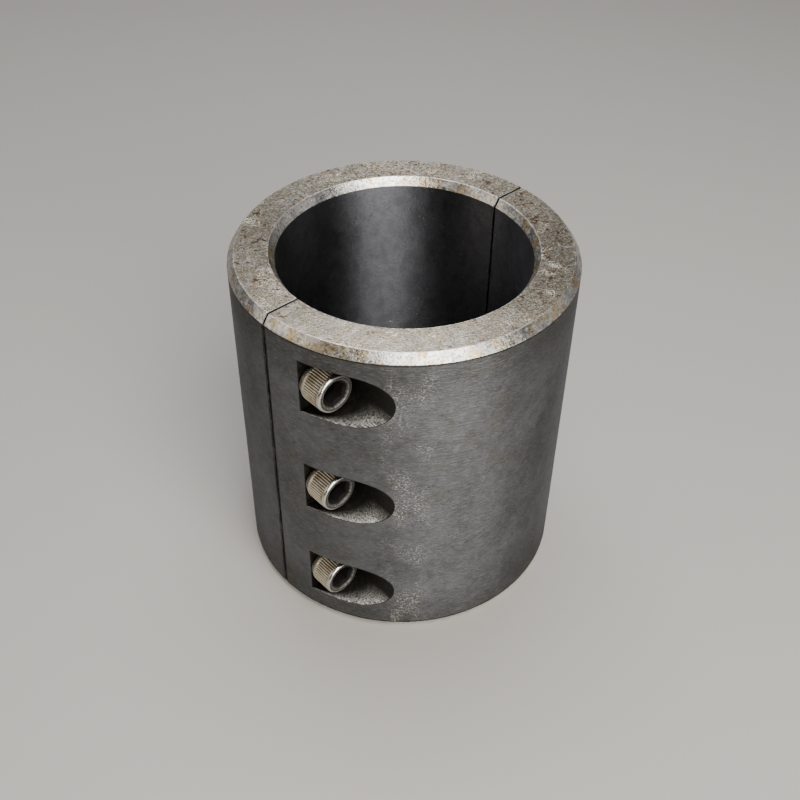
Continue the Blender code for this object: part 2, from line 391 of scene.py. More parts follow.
def pocket_rim(border, centre, sizes):
    """Where the straight line from a pocket's middle to each point of the border leaves the pocket.

    Both are (angle, height) on the wall. The pocket is where the wall is nearer than the cutter's radius
    to the line that the cutter's axis follows outwards, and further from the split than the seat. The
    crossing is found by halving.
    """
    seat_angle = math.asin(sizes.seat_depth / OUTER_RADIUS)

    def outside(spot):
        inwards = np.minimum(OUTER_RADIUS * np.cos(spot[:, 0]) - sizes.pocket_offset, 0.0)
        reach = np.hypot(inwards, spot[:, 1] - centre[1])
        return (reach > sizes.pocket_radius) | (spot[:, 0] < seat_angle)

    low, high = np.zeros(len(border)), np.ones(len(border))
    for _ in range(HALVINGS):
        middle = (low + high) / 2
        out = outside(centre + (border - centre) * middle[:, None])
        low, high = np.where(out, low, middle), np.where(out, middle, high)
    rim = centre + (border - centre) * high[:, None]
    for level in (centre[1] - sizes.pocket_radius, centre[1] + sizes.pocket_radius):
        corner = [seat_angle, level]
        rim[np.argmin(np.linalg.norm((rim - corner) * [OUTER_RADIUS, 1.0], axis=1))] = corner
    return rim


def pocket_patches(border, split_angle, row, sizes):
    """The tile of wall round one pocket, its broken rim, its milled wall, its seat and the screw's hole.

    border is a ring of (angle, height) on the wall. split_angle holds the angles of the hole's points at
    the split. Each part is a grid from one ring to the next.
    """
    centre = np.array([POCKET_MIDDLE, row_height(row)])
    axis = np.array([-screw_offset(), row_height(row)])
    edge, seat, split = RIM_BREAK, -sizes.seat_depth, -SPLIT_GAP / 2
    scale = np.array([OUTER_RADIUS, 1.0])
    rim_spot = pocket_rim(border, centre, sizes)
    away = (border - rim_spot) * scale
    away = away / np.linalg.norm(away, axis=1, keepdims=True) / scale
    outer_spot = rim_spot + away * edge
    tile = between(outer_spot, border, RING_ROWS, power=1.4)
    tile = around(OUTER_RADIUS, tile[..., 0], tile[..., 1])
    rim = around(OUTER_RADIUS, rim_spot[:, 0], rim_spot[:, 1])

    # the broken edge goes down the wall, and where the wall has no height, in across the seat
    fall = np.clip(seat - rim[:, 1], 0.0, edge)
    inward = np.stack([axis[0] - rim[:, 0], np.zeros(len(rim)), axis[1] - rim[:, 2]], axis=-1)
    inward = inward / np.linalg.norm(inward, axis=1, keepdims=True)
    lip = rim + inward * (edge - fall)[:, None]
    lip[:, 1] += fall
    foot = lip.copy()
    foot[:, 1] = seat
    seat_angle = ring_angles(foot, axis)
    seat_angle += math.tau * np.round((split_angle[0] - seat_angle[0]) / math.tau)
    radius = sizes.clearance_radius
    mouth = circle(seat_angle, axis, radius + edge, seat)
    neck = circle(seat_angle, axis, radius, seat + edge)
    corner = circle(seat_angle, axis, radius, seat)
    far_neck = circle(split_angle, axis, radius, split - edge)
    turn = between(seat_angle, split_angle, HOLE_ROWS)[..., None]
    depth = np.linspace(seat + edge, split - edge, HOLE_ROWS)
    hole = np.stack([circle(angle[:, 0], axis, radius, y) for angle, y in zip(turn, depth)])
    far_corner = circle(split_angle, axis, radius, split)
    far_mouth = circle(split_angle, axis, radius + edge, split)
    # darker down the pocket's wall towards the seat; the low values near the mouth place the milled walls'
    # painted highlight
    grime = np.linspace(0.0, 1.0, WALL_ROWS)[:, None] ** 0.8
    return [
        (tile, TURNED, True, 0.0),
        (bent(tile[0], rim, lip, ROUND), MILLED, True, 0.3),
        (between(lip, foot, WALL_ROWS), MILLED, True, grime),
        (between(foot, mouth, SEAT_ROWS), MILLED, True, 1.0),
        (bent(mouth, corner, neck, ROUND), MILLED, True, 1.0),
        (hole, MILLED, True, 1.0),
        (bent(far_neck, far_corner, far_mouth, ROUND), MILLED, True, 0.5),
    ]


def tapped_patches(angle, axis, sizes, screws):
    """A tapped hole in the right-hand split face: a bevelled mouth, a thread of V grooves, a coned end.

    The thread's radius grows and falls once per pitch along a line that climbs one pitch per turn.
    """
    split, crest = -SPLIT_GAP / 2, sizes.tapped_radius
    pitch, depth = screws.thread_pitch, TAP_DEPTH
    mouth = circle(angle, axis, crest + depth, split)
    rows = np.arange(0.0, sizes.tapped_depth - depth, pitch / THREAD_STEPS)
    wave = 1 - np.abs(((rows[:, None] / pitch + angle[None, :] / math.tau) % 1.0) * 2 - 1)
    fade = np.clip(rows / pitch, 0.0, 1.0)[:, None]
    radius = crest + depth * (np.clip(wave * 1.4 - 0.1, 0.0, 1.0) * fade)
    y = split - depth - rows[:, None]
    x = axis[0] - radius * np.cos(angle)
    z = axis[1] + radius * np.sin(angle)
    thread = np.stack(np.broadcast_arrays(x, y, z), axis=-1)
    tip = circle(angle, axis, 0.0, thread[-1, 0, 1] - DRILL_POINT)
    return [
        (between(mouth, thread[0], 3), SAWN, True, 0.5),
        (thread, THREADED, True, 0.4 + 0.6 * np.clip(wave, 0.0, 1.0)),
        (between(thread[-1], tip, 4), THREADED, True, 1.0),
    ]


def split_end(runs, sizes, right):
    """The broken edges and the flat face at one end of the shell, with a ring for each hole.

    The section shrinks towards its middle by a quarter circle while it moves to the split plane. The flat
    is three tiles, each a grid from its hole's circle to its own stretch of the section.
    """
    half_width = (OUTER_RADIUS - sizes.bore_radius) / 2
    middle = np.array([sizes.bore_radius + half_width, SLEEVE_LENGTH / 2])
    shrink = sizes.split_break / np.array([half_width, SLEEVE_LENGTH / 2])
    mirror = np.array([-1.0 if right else 1.0, 1.0, 1.0])

    def moved(run, turn):
        spot = middle + (run - middle) * (1 - shrink * (1 - math.cos(turn)))
        y = SPLIT_GAP / 2 + sizes.split_break * (1 - math.sin(turn))
        x = -np.sqrt(spot[:, 0] ** 2 - y**2)
        return np.stack([x, np.full_like(x, -y), spot[:, 1]], axis=-1) * mirror

    turns = np.linspace(0.0, math.pi / 2, ROUND + 1)
    grime, rubbed = np.linspace([0.85, 0.1], [1.0, 0.9], ROUND + 1).T[..., None]
    edges = []
    for run in runs["all"]:
        dirt_and_shade = grime if run is runs["wall"] or run is runs["bore"] else rubbed
        edges.append((np.stack([moved(run, turn) for turn in turns]), SAWN, False, dirt_and_shade))
    wall, bore = moved(runs["wall"], turns[-1]), moved(runs["bore"], turns[-1])
    ends = {
        side: moved(np.concatenate([runs[side][0][0]] + [run[1:] for run, _ in runs[side][1:]]), turns[-1])
        for side in ("bottom", "top")
    }
    lines = [ends["bottom"]]
    for tile in (1, 2):
        lines.append(between(wall[tile * TILE_ROWS], bore[tile * TILE_ROWS], TILE_COLUMNS + 1))
    lines.append(ends["top"])
    faces, rings = [], {}
    seeped = np.repeat([0.2, 0.5, 1.0], [FLAT_ROWS - 4, 2, 2])[:, None]
    for tile, row in enumerate(ROWS):
        step = slice(tile * TILE_ROWS, (tile + 1) * TILE_ROWS + 1)
        ring = loop(wall[step], lines[tile + 1], bore[step], lines[tile])
        axis = np.array([-screw_offset() * mirror[0], row_height(row)])
        rings[row] = (ring_angles(ring, axis), axis)
        hole = sizes.tapped_radius + TAP_DEPTH if right else sizes.clearance_radius + RIM_BREAK
        mouth = circle(rings[row][0], axis, hole, -SPLIT_GAP / 2)
        faces.append((between(mouth, ring, FLAT_ROWS), SAWN, True, seeped))
    return edges + faces, rings


def half_shell_patches(sizes, screws):
    """All the grids of the front half shell."""
    runs = section(sizes)
    by_split, by_pockets, plain = column_shares(sizes)
    share = np.concatenate([by_split[:-1], by_pockets[:-1], plain])
    runs["all"] = [run for run, _ in runs["bottom"] + runs["top"]] + [runs["wall"], runs["bore"]]
    patches = [(swept(run, share, sizes), finish, False, 0.0) for run, finish in runs["bottom"] + runs["top"]]
    patches.append((swept(runs["bore"], share, sizes), BORED, False, 0.0))
    patches.append((swept(runs["wall"], by_split, sizes), TURNED, False, 0.0))
    patches.append((swept(runs["wall"], plain, sizes), TURNED, False, 0.0))
    near, near_rings = split_end(runs, sizes, right=False)
    far, far_rings = split_end(runs, sizes, right=True)
    patches += near + far
    angle = sweep_angles(OUTER_RADIUS, by_pockets, sizes)
    height = runs["wall"][:, 1]
    for tile, row in enumerate(ROWS):
        step = slice(tile * TILE_ROWS, (tile + 1) * TILE_ROWS + 1)
        up, low, high = height[step], height[step][0], height[step][-1]
        left, right = [np.stack([np.full_like(up, side), up], axis=-1) for side in (angle[0], angle[-1])]
        bottom, top = [np.stack([angle, np.full_like(angle, level)], axis=-1) for level in (low, high)]
        border = loop(left, top, right, bottom)
        patches += pocket_patches(border, near_rings[row][0], row, sizes)
        patches += tapped_patches(*far_rings[row], sizes, screws)
    return patches


# ---------------------------------------------------------------- screws and washers

SHANK_EVERY = 3  # the shank has one column for this many of the head
KNURL_GROOVE = (0.0, 0.12, 0.6, 1.0, 0.6, 0.12)  # shares of the knurl's depth across one ridge
KNURL_STEPS = len(KNURL_GROOVE)  # points across one ridge of the knurl
KNURL_MARGIN = 1.0 * MM  # plain band of the head above and below the knurl
KNURL_FADE = 0.35 * MM  # how far the knurl's grooves take to reach their depth
RIM_WIDTH = 0.6 * MM  # how far the head's rims are rounded
MOUTH_LIP = 0.08 * MM  # width of the flat line round the socket's bevel
PUNCH_POINT = 1.1 * MM  # depth of the cone in the socket's floor
FILLET = 0.5 * MM  # round corner under the head
TIP_CHAMFER = 0.95 * MM  # how much smaller the shank is at its tip
SOCKET_TURNS = {"bottom": 8.0, "middle": 24.0, "top": 14.0}  # degrees


def seated(points, side, row, from_split):
    """A piece made with its axis along Z, laid on a screw's axis with its +Z facing away from the split."""
    x = points[..., 0] - screw_offset()
    y = -from_split - points[..., 2]
    z = points[..., 1] + row_height(row)
    return turned_to(np.stack([x, y, z], axis=-1), side)


def rounds(angle, radius, height):
    """Points about Z at these angles, with a radius and a height for each row or for each point."""
    return np.stack(np.broadcast_arrays(radius * np.cos(angle), radius * np.sin(angle), height), axis=-1)


def hexagon(angle, across_flats, turn):
    """The radius of a hexagon at each angle: half its width, over the cosine of the angle from the middle
    of the nearest flat."""
    sixth = math.tau / 6
    return across_flats / 2 / np.cos((angle - turn) % sixth - sixth / 2)


def head_patches(screws, turn):
    """The head: socket floor, hexagon wall, bevelled mouth, flat face, rounded rim, knurl and underside.

    Every row goes round the axis. The hexagon's rows have a hexagon's radius, the mouth's bevel meets
    them where a cone at 45 degrees would, and the knurl's rows fall by its depth in each groove.
    """
    columns = screws.knurl_ridges * KNURL_STEPS
    angle = np.linspace(0.0, math.tau, columns, endpoint=False)
    flats = hexagon(angle, screws.socket_across_flats, turn)
    top, floor = screws.head_height, screws.head_height - screws.socket_depth
    wall_top = top - (screws.mouth_radius - flats)
    face_radius = HEAD_RADIUS - RIM_WIDTH
    socket = np.concatenate([
        between(rounds(angle, 0.0, floor - PUNCH_POINT), rounds(angle, flats, floor), 6),
        between(rounds(angle, flats, floor), rounds(angle, flats, wall_top), 6)[1:],
        between(rounds(angle, flats, wall_top), rounds(angle, screws.mouth_radius, top), 3)[1:],
    ])
    bevel = rounds(angle, screws.mouth_radius + MOUTH_LIP, top)
    face = between(bevel, rounds(angle, face_radius, top), 4)
    knurl_top, knurl_foot = top - KNURL_MARGIN, KNURL_MARGIN
    rim = bent(face[-1], rounds(angle, HEAD_RADIUS, top), rounds(angle, HEAD_RADIUS, knurl_top), 9)
    groove = np.tile(KNURL_GROOVE, screws.knurl_ridges)
    rows = np.linspace(knurl_top, knurl_foot, 18)
    ends = np.clip(np.minimum(knurl_top - rows, rows - knurl_foot) / KNURL_FADE, 0.0, 1.0)
    depth = np.sqrt(ends)[:, None] * groove
    knurl = rounds(angle, HEAD_RADIUS - screws.knurl_depth * depth, rows[:, None])
    foot = bent(knurl[-1], rounds(angle, HEAD_RADIUS, 0.0), rounds(angle, HEAD_RADIUS - RIM_WIDTH, 0.0), 7)
    return [
        # the high values paint shade: the socket nearly black, and the face darker as the pocket edge's
        # shadow
        (socket, 1, True, np.repeat([1.0, 0.97, 0.8], [6, 6, 1])[:, None]),
        (np.concatenate([socket[-1:], face]), 2, True, np.array([0.6, 0.9, 1.0, 1.0, 0.7])[:, None]),
        (rim, 2, True, np.array([0.6, 0.35, 0.12, 0.0, 0.0, 0.0, 0.1, 0.2, 0.3])[:, None]),
        (knurl, 0, True, depth),
        (foot, 0, True, np.linspace(0.25, 0.8, 7)[:, None]),
    ]


def shank_patches(screws):
    """The threaded shank: rows go down from the underside, and the radius falls once per pitch in a V.

    The V's line climbs one pitch per turn, which is a right-hand thread. It fades out under the head, and
    a cone cuts it off at the tip.
    """
    columns = screws.knurl_ridges * KNURL_STEPS // SHANK_EVERY
    angle = np.linspace(0.0, math.tau, columns, endpoint=False)
    pitch, reach = screws.thread_pitch, HEAD_FACE - screws.head_height + SCREW_TIP
    height = -np.append(np.arange(FILLET, reach, pitch / THREAD_STEPS), reach)[:, None]
    wave = np.abs(((height / pitch - angle / math.tau) % 1.0) * 2 - 1)
    cut = np.clip(wave * 1.35 - 0.12, 0.0, 1.0)
    fade = np.clip((-height - FILLET) / (1.2 * pitch), 0.0, 1.0)
    radius = screws.thread_radius - screws.thread_depth * cut * fade
    radius = np.minimum(radius, screws.thread_radius - TIP_CHAMFER + (height + reach))
    thread = rounds(angle, radius, height)
    top = rounds(angle, screws.thread_radius + FILLET, 0.0)
    neck = bent(top, rounds(angle, screws.thread_radius, 0.0), thread[0], 5)
    tip = between(thread[-1], rounds(angle, 0.0, -reach), 5)
    return [(neck, 0, True, 0.6), (thread, 0, True, cut * fade), (tip, 0, True, 0.5)]


def screw_mesh(name, side, row, screws, materials):
    """A whole screw. Under the head, its columns close in three by three on the shank's fewer ones."""
    under = HEAD_FACE - screws.head_height
    patches = head_patches(screws, math.radians(SOCKET_TURNS[row])) + shank_patches(screws)
    foot, shank_top = patches[4][0][-1], patches[5][0][0]
    ring = np.roll(np.repeat(shank_top, SHANK_EVERY, axis=0), -1, axis=0)
    patches.append((between(foot, ring, 3), 0, True, 0.7))
    placed = [(seated(points, side, row, under), *rest) for points, *rest in patches]
    return sewn(name, placed, materials)


SLIT_AT = math.radians(200.0)  # where the washers' slits are


def washer_mesh(name, side, row, washers, materials):
    """A flat spring lock washer: a rounded oblong carried round the axis from one side of a slanted slit
    to the other, with both cut ends closed by rings that shrink to a point."""
    inner, outer, edge = washers.inner_radius, washers.outer_radius, washers.edge_break
    thick = WASHER_HIGH - WASHER_LOW
    corners = np.array([[inner, 0.0], [outer, 0.0], [outer, thick], [inner, thick]])
    inset = np.array([[edge, edge], [-edge, edge], [-edge, -edge], [edge, -edge]])
    arcs = []
    for corner, into, before in zip(corners, inset, (True, False, True, False)):
        along = [np.array([0.0, into[1]]), np.array([into[0], 0.0])]
        first, last = along if before else along[::-1]
        arcs.append(bent(corner + first, corner, corner + last, 4))
    outline = np.concatenate(arcs)
    slit, slant = washers.slit / outer, thick / outer
    share = np.linspace(0.0, 1.0, 97)[:, None]
    start = SLIT_AT + slit / 2 + slant * outline[:, 1] / thick
    angle = start + (math.tau - slit) * share
    body = rounds(angle, outline[:, 0], outline[:, 1])
    caps = [between(end, np.broadcast_to(end.mean(axis=0), end.shape), 3) for end in (body[0], body[-1])]
    patches = [(body, 0, True, 0.6), (caps[0], 0, True, 0.8), (caps[1], 0, True, 0.8)]
    placed = [(seated(points, side, row, WASHER_LOW), *rest) for points, *rest in patches]
    return sewn(name, placed, materials)


# ---------------------------------------------------------------- materials


def linear(code):
    """An sRGB colour written as #rrggbb, as a linear colour with alpha."""
    parts = [int(code[start : start + 2], 16) / 255 for start in (1, 3, 5)]
    return (*[part / 12.92 if part <= 0.04045 else ((part + 0.055) / 1.055) ** 2.4 for part in parts], 1.0)


def add(tree, kind, inputs=None, **settings):
    """Add one node with its settings. An input that is a socket is linked, and any other value is set."""
    made = tree.nodes.new(kind)
    for name, value in settings.items():
        setattr(made, name, value)
    for name, value in (inputs or {}).items():
        if isinstance(value, bpy.types.NodeSocket):
            tree.links.new(value, made.inputs[name])
        else:
            made.inputs[name].default_value = value
    return made


UPWARDS, OUTWARDS = (0.0, 0.0, 1.0), (1.0, 1.0, 0.0)  # the parts of a place that give these directions
GLINT_AT = math.radians(-41.0)  # where the painted glints on the wall are centred, from -Y towards +X
GLINT_REACH, GLINT_FULL = 8.5 * MM, 3.0 * MM  # from that line: where the painted glints end and where they are full
SEEP_REACH, SEEP_FULL = 0.95 * MM, 0.65 * MM  # from the split: where seeped grime ends and where it is full
RIM_GRIME, OIL_BAND = 0.9 * MM, 16.0 * MM  # widths of the grime and of the oil beside each outer chamfer
EDGE_HIGHLIGHT = 0.5 * MM  # width of the painted highlight along both edges of an end


def steel(name):
    """A new metal with nothing on it yet: its material, node tree, shader and object coordinates."""
    material = bpy.data.materials.new(name)
    material.use_nodes = True
    shader = material.node_tree.nodes["Principled BSDF"]
    shader.inputs["Metallic"].default_value = 1.0
    place = add(material.node_tree, "ShaderNodeTexCoord").outputs["Object"]
    return material, material.node_tree, shader, place


def marks(tree, place, size, low, high, most=1.0, least=0.0, detail=2.0):
    """Noise whose marks are this many mm across, or long in X, Y and Z. The mask is least where the noise
    is below low, and most where it is above high. Grit, nicks and dust are really finer than 0.2 mm: they
    are drawn at 0.4 to 0.9 mm, so that they show."""
    scale = [1 / (extent * MM) for extent in (size if isinstance(size, tuple) else (size,) * 3)]
    stretched = add(tree, "ShaderNodeMapping", {"Vector": place, "Scale": scale})
    noise = add(tree, "ShaderNodeTexNoise", {"Vector": stretched.outputs[0], "Scale": 1.0, "Detail": detail})
    span = {"Value": noise.outputs[0], "From Min": low, "From Max": high, "To Min": least, "To Max": most}
    return add(tree, "ShaderNodeMapRange", span).outputs[0]


def together(tree, *masks):
    """Where masks overlap: their product."""
    overlap = masks[0]
    for mask in masks[1:]:
        overlap = add(tree, "ShaderNodeMath", {0: overlap, 1: mask}, operation="MULTIPLY").outputs[0]
    return overlap


def layered(tree, base, layers):
    """Colours laid over a base: each one shows where its mask is 1."""
    colour = linear(base)
    for mask, over in layers:
        mixed = add(tree, "ShaderNodeMix", {0: mask, 6: colour, 7: linear(over)}, data_type="RGBA")
        colour = mixed.outputs[2]
    return colour


def relief(tree, *layers):
    """Bumps laid on each other, each from a pattern and its height in mm. Returns the last one's normal."""
    inputs = {}
    for pattern, height in layers:
        inputs = {**inputs, "Height": pattern, "Distance": height * MM}
        inputs = {"Normal": add(tree, "ShaderNodeBump", inputs).outputs[0]}
    return inputs["Normal"]


def finished(tree, shader, colour, roughness, normal):
    """Link a finish's colour, roughness and normal to its shader."""
    for name, source in (("Base Color", colour), ("Roughness", roughness), ("Normal", normal)):
        tree.links.new(source, shader.inputs[name])


def grooved(tree, shader, place, axes, amount):
    """Draw the shine out across fine grooves: up and down a turned wall, or along the radius of an end."""
    across = add(tree, "ShaderNodeVectorMath", {0: place, 1: axes}, operation="MULTIPLY").outputs[0]
    tree.links.new(across, shader.inputs["Tangent"])
    shader.inputs["Anisotropic"].default_value = amount


def ringed(tree, place):
    """Coordinates for a finish cut in rings round the bore: radius, then X and Y."""
    flat = add(tree, "ShaderNodeVectorMath", {0: place, 1: OUTWARDS}, operation="MULTIPLY").outputs[0]
    radius = add(tree, "ShaderNodeVectorMath", {0: flat}, operation="LENGTH").outputs["Value"]
    split = add(tree, "ShaderNodeSeparateXYZ", {0: flat})
    return add(tree, "ShaderNodeCombineXYZ", {0: radius, 1: split.outputs[0], 2: split.outputs[1]}).outputs[0]


def apart(tree, value, middle):
    """How far a value is from a middle, either way: the size of their difference."""
    shifted = add(tree, "ShaderNodeMath", {0: value, 1: middle}, operation="SUBTRACT").outputs[0]
    return add(tree, "ShaderNodeMath", {0: shifted}, operation="ABSOLUTE").outputs[0]


def near_edges(tree, value, middle, reach, width):
    """A mask along both edges of a band about a middle: it grows from 0, this width inside the edge, to 1."""
    away = apart(tree, value, middle)
    span = {"Value": away, "From Min": reach - width, "From Max": reach - 0.3 * width}
    return add(tree, "ShaderNodeMapRange", span).outputs[0]


def curls(tree, place, size):
    """Short curly lines in scattered clusters, where a noise is halfway between its low and its high."""
    away = apart(tree, marks(tree, place, size, 0.2, 0.8), 0.5)
    line = add(tree, "ShaderNodeMapRange", {"Value": away, "From Min": 0.08, "From Max": 0.02}).outputs[0]
    return together(tree, line, marks(tree, place, 6.0, 0.58, 0.68, detail=1.0))


def glint_band(tree, place):
    """A mask round one upright line on the wall, full close to it and gone further round: where glints are
    painted.
    """
    line = (OUTER_RADIUS * math.sin(GLINT_AT), -OUTER_RADIUS * math.cos(GLINT_AT), 0.0)
    flat = add(tree, "ShaderNodeVectorMath", {0: place, 1: OUTWARDS}, operation="MULTIPLY").outputs[0]
    away = add(tree, "ShaderNodeVectorMath", {0: flat, 1: line}, operation="DISTANCE").outputs["Value"]
    span = {"Value": away, "From Min": GLINT_REACH, "From Max": GLINT_FULL}
    return add(tree, "ShaderNodeMapRange", span).outputs[0]


def turned_steel(colours, sizes):
    """Mild steel bar turned on a lathe and left oiled: fine lines round the wall break its shine into short
    level streaks, the oil has dried in darker clouds and in the split, and glints are painted in an upright
    band on the wall's front."""
    material, tree, shader, place = steel("mild_steel_turned_and_oiled")
    # the tool's lines are really about 0.15 mm apart: they are drawn at 0.45 mm, so that they show
    feed = marks(tree, place, (7.0, 7.0, 0.45), 0.3, 0.7)
    streaks = marks(tree, place, (1.8, 1.8, 0.35), 0.5, 0.8, most=0.38, detail=3.0)
    grit = marks(tree, place, (0.5, 0.5, 0.4), 0.35, 0.75)
    pits = marks(tree, place, (0.8, 0.8, 0.5), 0.55, 0.75, most=0.4, detail=3.0)
    clouds = marks(tree, place, (16.0, 16.0, 22.0), 0.42, 0.68, most=0.6, detail=4.0)
    blotches = marks(tree, place, (4.0, 4.0, 3.0), 0.45, 0.75, most=0.5, detail=3.0)
    stains = marks(tree, place, (9.0, 9.0, 7.0), 0.54, 0.75, most=0.5, detail=3.0)
    rusty = marks(tree, place, 14.0, 0.55, 0.6)
    rust = together(tree, rusty, marks(tree, place, 1.1, 0.68, 0.76, most=0.6, detail=3.0))
    # painted glints, in an upright band on the front of the wall
    glints = together(
        tree,
        glint_band(tree, place),
        marks(tree, place, (7.0, 7.0, 12.0), 0.38, 0.62),
        marks(tree, place, (0.6, 0.6, 0.3), 0.52, 0.72, most=0.8, detail=3.0),
    )
    axes = add(tree, "ShaderNodeSeparateXYZ", {0: place}).outputs
    from_split = add(tree, "ShaderNodeMath", {0: axes[1]}, operation="ABSOLUTE").outputs[0]
    span = {"Value": from_split, "From Min": SEEP_REACH, "From Max": SEEP_FULL}
    seeped = add(tree, "ShaderNodeMapRange", span).outputs[0]
    middle = SLEEVE_LENGTH / 2
    wall = middle - sizes.outer_chamfer_axial
    worn = marks(tree, place, 1.5, 0.35, 0.6, least=0.45, detail=3.0)
    rim = together(tree, near_edges(tree, axes[2], middle, wall, RIM_GRIME), worn)
    smears = marks(tree, place, (9.0, 9.0, 5.0), 0.25, 0.6, most=0.75, least=0.3, detail=3.0)
    oiled = together(tree, near_edges(tree, axes[2], middle, wall, OIL_BAND), smears)
    colour = layered(tree, colours.turned, [
        (clouds, colours.turned_oiled), (oiled, colours.turned_oiled), (stains, colours.turned_stained),
        (blotches, colours.turned_oiled), (pits, colours.grime), (streaks, colours.turned_bright),
        (rust, colours.rust), (glints, colours.bright_wear_and_highlight), (rim, colours.grime), (seeped, colours.grime),
    ])
    roughness = marks(tree, place, (2.0, 2.0, 0.6), 0.3, 0.7, most=0.4, least=0.52, detail=3.0)
    normal = relief(tree, (feed, 0.03), (grit, 0.014), (streaks, 0.02), (glints, 0.02))
    grooved(tree, shader, place, UPWARDS, 0.45)
    shader.inputs["Specular Tint"].default_value = linear(colours.oil_sheen)
    finished(tree, shader, colour, roughness, normal)
    return material


def faced_steel(colours, sizes):
    """Mild steel faced across the end of the bar, then handled and stored: tool rings spread the shine
    along the radius, under a thin brown tarnish with straw patches, pale scuffs, pits and freckles of rust,
    and a bright line is painted along both edges as their highlight."""
    material, tree, shader, place = steel("mild_steel_faced_and_tarnished")
    from_axis = ringed(tree, place)
    # the tool's rings are really about 0.15 mm apart: they are drawn at 0.3 mm, so that they show
    rings = marks(tree, from_axis, (0.3, 3.0, 3.0), 0.3, 0.7)
    grit = marks(tree, place, 0.5, 0.3, 0.75, detail=3.0)
    tarnish = marks(tree, place, 15.0, 0.25, 0.75, most=0.7, least=0.1)
    straw = marks(tree, place, 6.0, 0.48, 0.75, most=0.35, detail=3.0)
    worn = marks(tree, place, 0.6, 0.5, 0.75, most=0.6)
    scuffs = curls(tree, place, 1.3)
    dull = marks(tree, place, 0.7, 0.5, 0.8, most=0.6)
    stained = marks(tree, place, 2.6, 0.55, 0.75, most=0.4, detail=3.0)
    pale = marks(tree, place, 3.2, 0.5, 0.75, most=0.5)
    pits = marks(tree, place, 1.6, 0.7, 0.76, most=0.8, detail=3.0)
    rusty = marks(tree, place, 9.0, 0.42, 0.52)
    freckles = together(tree, rusty, marks(tree, place, 1.6, 0.58, 0.65, most=0.8, detail=3.0))
    radius = add(tree, "ShaderNodeSeparateXYZ", {0: from_axis}).outputs[0]
    low, high = sizes.bore_radius + sizes.inner_chamfer_radial, OUTER_RADIUS - sizes.outer_chamfer_radial
    # a painted highlight along both edges of the end, where their broken edges meet the chamfers
    edges = near_edges(tree, radius, (low + high) / 2, (high - low) / 2, EDGE_HIGHLIGHT)
    colour = layered(tree, colours.faced, [
        (tarnish, colours.tarnish), (straw, colours.straw), (pale, colours.bright_wear_and_highlight),
        (stained, colours.tarnish), (dull, colours.tarnish_dark), (worn, colours.bright_wear_and_highlight),
        (freckles, colours.rust), (pits, colours.tarnish_dark), (scuffs, colours.chamfer),
        (together(tree, edges, grit), colours.bright_wear_and_highlight),
    ])
    roughness = marks(tree, place, 1.0, 0.3, 0.7, most=0.46, least=0.28, detail=3.0)
    grooved(tree, shader, place, OUTWARDS, 0.5)
    finished(tree, shader, colour, roughness, relief(tree, (rings, 0.015), (grit, 0.03), (scuffs, 0.04)))
    return material


def chamfered_steel(colours):
    """Mild steel chamfered with a sharp tool and rubbed by handling: a bright band with a grain of small
    nicks, fine scratches, straw stains and grey patches."""
    material, tree, shader, place = steel("mild_steel_chamfered_and_rubbed")
    # the tool's lines are really about 0.15 mm apart: they are drawn at 0.3 mm, so that they show
    lines = marks(tree, place, (9.0, 9.0, 0.3), 0.3, 0.7)
    nicks = marks(tree, place, (0.8, 0.8, 0.7), 0.48, 0.7, most=0.7, detail=3.0)
    grey = marks(tree, place, 5.0, 0.48, 0.62, most=0.8, detail=3.0)
    straw = marks(tree, place, 4.0, 0.5, 0.6, most=0.6, detail=4.0)
    scratches = marks(tree, place, (1.4, 1.4, 0.35), 0.58, 0.7, detail=3.0)
    colour = layered(tree, colours.chamfer, [
        (grey, colours.turned_bright), (straw, colours.straw), (nicks, colours.turned_oiled),
        (scratches, colours.bright_wear_and_highlight),
    ])
    roughness = marks(tree, place, (1.2, 1.2, 0.8), 0.3, 0.7, most=0.5, least=0.26, detail=3.0)
    grooved(tree, shader, place, OUTWARDS, 0.5)
    finished(tree, shader, colour, roughness, relief(tree, (lines, 0.01), (nicks, -0.04)))
    return material


def bored_steel(colours):
    """Mild steel bored out and wiped with oil: rings of the boring bar round a dark wall, with a mottle of
    drying oil and a few bright specks of dust and swarf."""
    material, tree, shader, place = steel("mild_steel_bored_and_oiled")
    # the boring bar's rings are really about 0.2 mm apart: they are drawn at 0.5 mm, so that they show
    rings = marks(tree, place, (8.0, 8.0, 0.5), 0.3, 0.7)
    mottle = marks(tree, place, (3.0, 3.0, 4.0), 0.45, 0.66, most=0.8, detail=6.0)
    grain = marks(tree, place, (1.0, 1.0, 0.8), 0.5, 0.64, most=0.75, detail=3.0)
    grit = marks(tree, place, 0.7, 0.35, 0.75, detail=3.0)
    specks = marks(tree, place, 0.9, 0.73, 0.8, most=0.6)
    colour = layered(tree, colours.bored, [
        (mottle, colours.bored_oiled), (grain, colours.turned_oiled), (specks, colours.bright_wear_and_highlight),
    ])
    roughness = marks(tree, place, 3.0, 0.3, 0.7, most=0.44, least=0.6, detail=4.0)
    grooved(tree, shader, place, UPWARDS, 0.95)
    finished(tree, shader, colour, roughness, relief(tree, (rings, 0.02), (grit, 0.02)))
    return material


